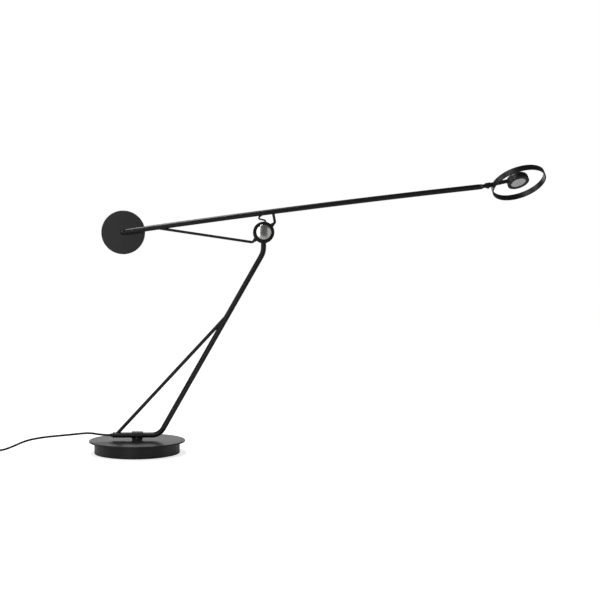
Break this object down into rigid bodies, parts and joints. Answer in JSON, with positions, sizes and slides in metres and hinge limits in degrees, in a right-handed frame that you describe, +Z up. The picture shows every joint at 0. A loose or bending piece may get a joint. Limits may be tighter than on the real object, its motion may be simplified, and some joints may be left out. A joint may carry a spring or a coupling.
{
  "type": "desk lamp",
  "caption": "Desk lamp with a round swivel base, a bent braced stem, a long tilting arm with a disc counterweight, and a small LED head in a ring.",
  "frame": {"origin": "centre of the underside of the base", "axes": "+Z up, +X from the counterweight to the head, -Y to the front, where the clamp knob is"},
  "size_m": [1.1649, 0.18, 0.536],
  "materials": {
    "black_coat": "black powder coat, satin to matt",
    "cast_weight": "black powder coat, satin to matt",
    "turned_aluminium": "turned, fine concentric tool marks",
    "brass": "plain turned",
    "steel": "plain steel",
    "black_steel": "blackened steel",
    "friction_pad": "pressed fibre",
    "pad_rubber": "matt rubber",
    "cord_cover": "black braided textile",
    "inner_lead": "black flexible sheath",
    "black_plastic": "moulded, fine grain",
    "circuit_board": "glass-fibre board",
    "led_white": "phosphor",
    "diffuser_white": "opal diffuser, unlit",
    "sink_metal": "plain aluminium",
    "pin_metal": "nickel plate"
  },
  "bodies": {
    "base": {"foot_pad": "pad_rubber", "base_weight": "cast_weight", "base_plate": "black_coat", "plate_screws": "steel", "swivel_bush": "brass", "thrust_washer": "friction_pad"},
    "stem": {"tee_fitting": "black_coat", "tee_grub_screw": "black_steel", "swivel_washer": "steel", "swivel_screw": "steel", "stem_tube": "black_coat", "lower_brace": "black_coat", "tube_gland": "black_plastic", "stem_lead": "inner_lead", "stem_hub": "black_coat", "friction_disc": "friction_pad", "hub_axle": "black_steel", "cord_lead": "cord_cover", "cord_coil": "cord_cover", "cord_tail": "cord_cover", "driver_relief": "inner_lead", "driver_shell": "black_plastic", "driver_lid": "black_plastic", "driver_pins": "pin_metal", "driver_board": "circuit_board"},
    "arm": {"arm_hub": "black_coat", "hub_bush": "brass", "hub_lead": "inner_lead", "spring_washers": "steel", "arm_tube": "black_coat", "bridge_lead": "inner_lead", "short_strut": "black_coat", "long_brace": "black_coat", "arm_lead": "inner_lead", "counterweight": "black_coat", "arm_plug": "steel", "counterweight_screw": "black_steel", "arm_end": "black_coat", "tilt_pin": "steel"},
    "knob": {"clamp_knob": "turned_aluminium", "knob_insert": "brass"},
    "knuckle": {"tilt_knuckle": "black_coat"},
    "head": {"head_collar": "black_coat", "collar_screw": "black_steel", "head_rod": "black_coat", "head_ring": "black_coat", "led_housing": "black_coat", "heat_sink": "sink_metal", "led_board": "circuit_board", "led_chips": "led_white", "bezel": "black_plastic", "diffuser": "diffuser_white", "head_lead": "inner_lead"}
  },
  "joints": [
    {"name": "base_swivel", "type": "hinge", "parent": "base", "child": "stem", "pos_m": [0, 0, 0.022], "axis": [0, 0, 1], "continuous": true},
    {"name": "arm_tilt", "type": "hinge", "parent": "stem", "child": "arm", "pos_m": [0.2374, -0.0121, 0.4143], "axis": [0, -1, 0], "range_deg": [-55, 45]},
    {"name": "knob_turn", "type": "hinge", "parent": "stem", "child": "knob", "pos_m": [0.2374, -0.0212, 0.4143], "axis": [0, -1, 0], "range_deg": [0, 360]},
    {"name": "head_tilt", "type": "hinge", "parent": "arm", "child": "knuckle", "pos_m": [0.6439, -0.0121, 0.4997], "axis": [0, -1, 0], "range_deg": [-80, 80]},
    {"name": "head_roll", "type": "hinge", "parent": "knuckle", "child": "head", "pos_m": [0.6439, -0.0121, 0.4997], "axis": [0.9781, 0, 0.2079], "range_deg": [-170, 170]}
  ]
}
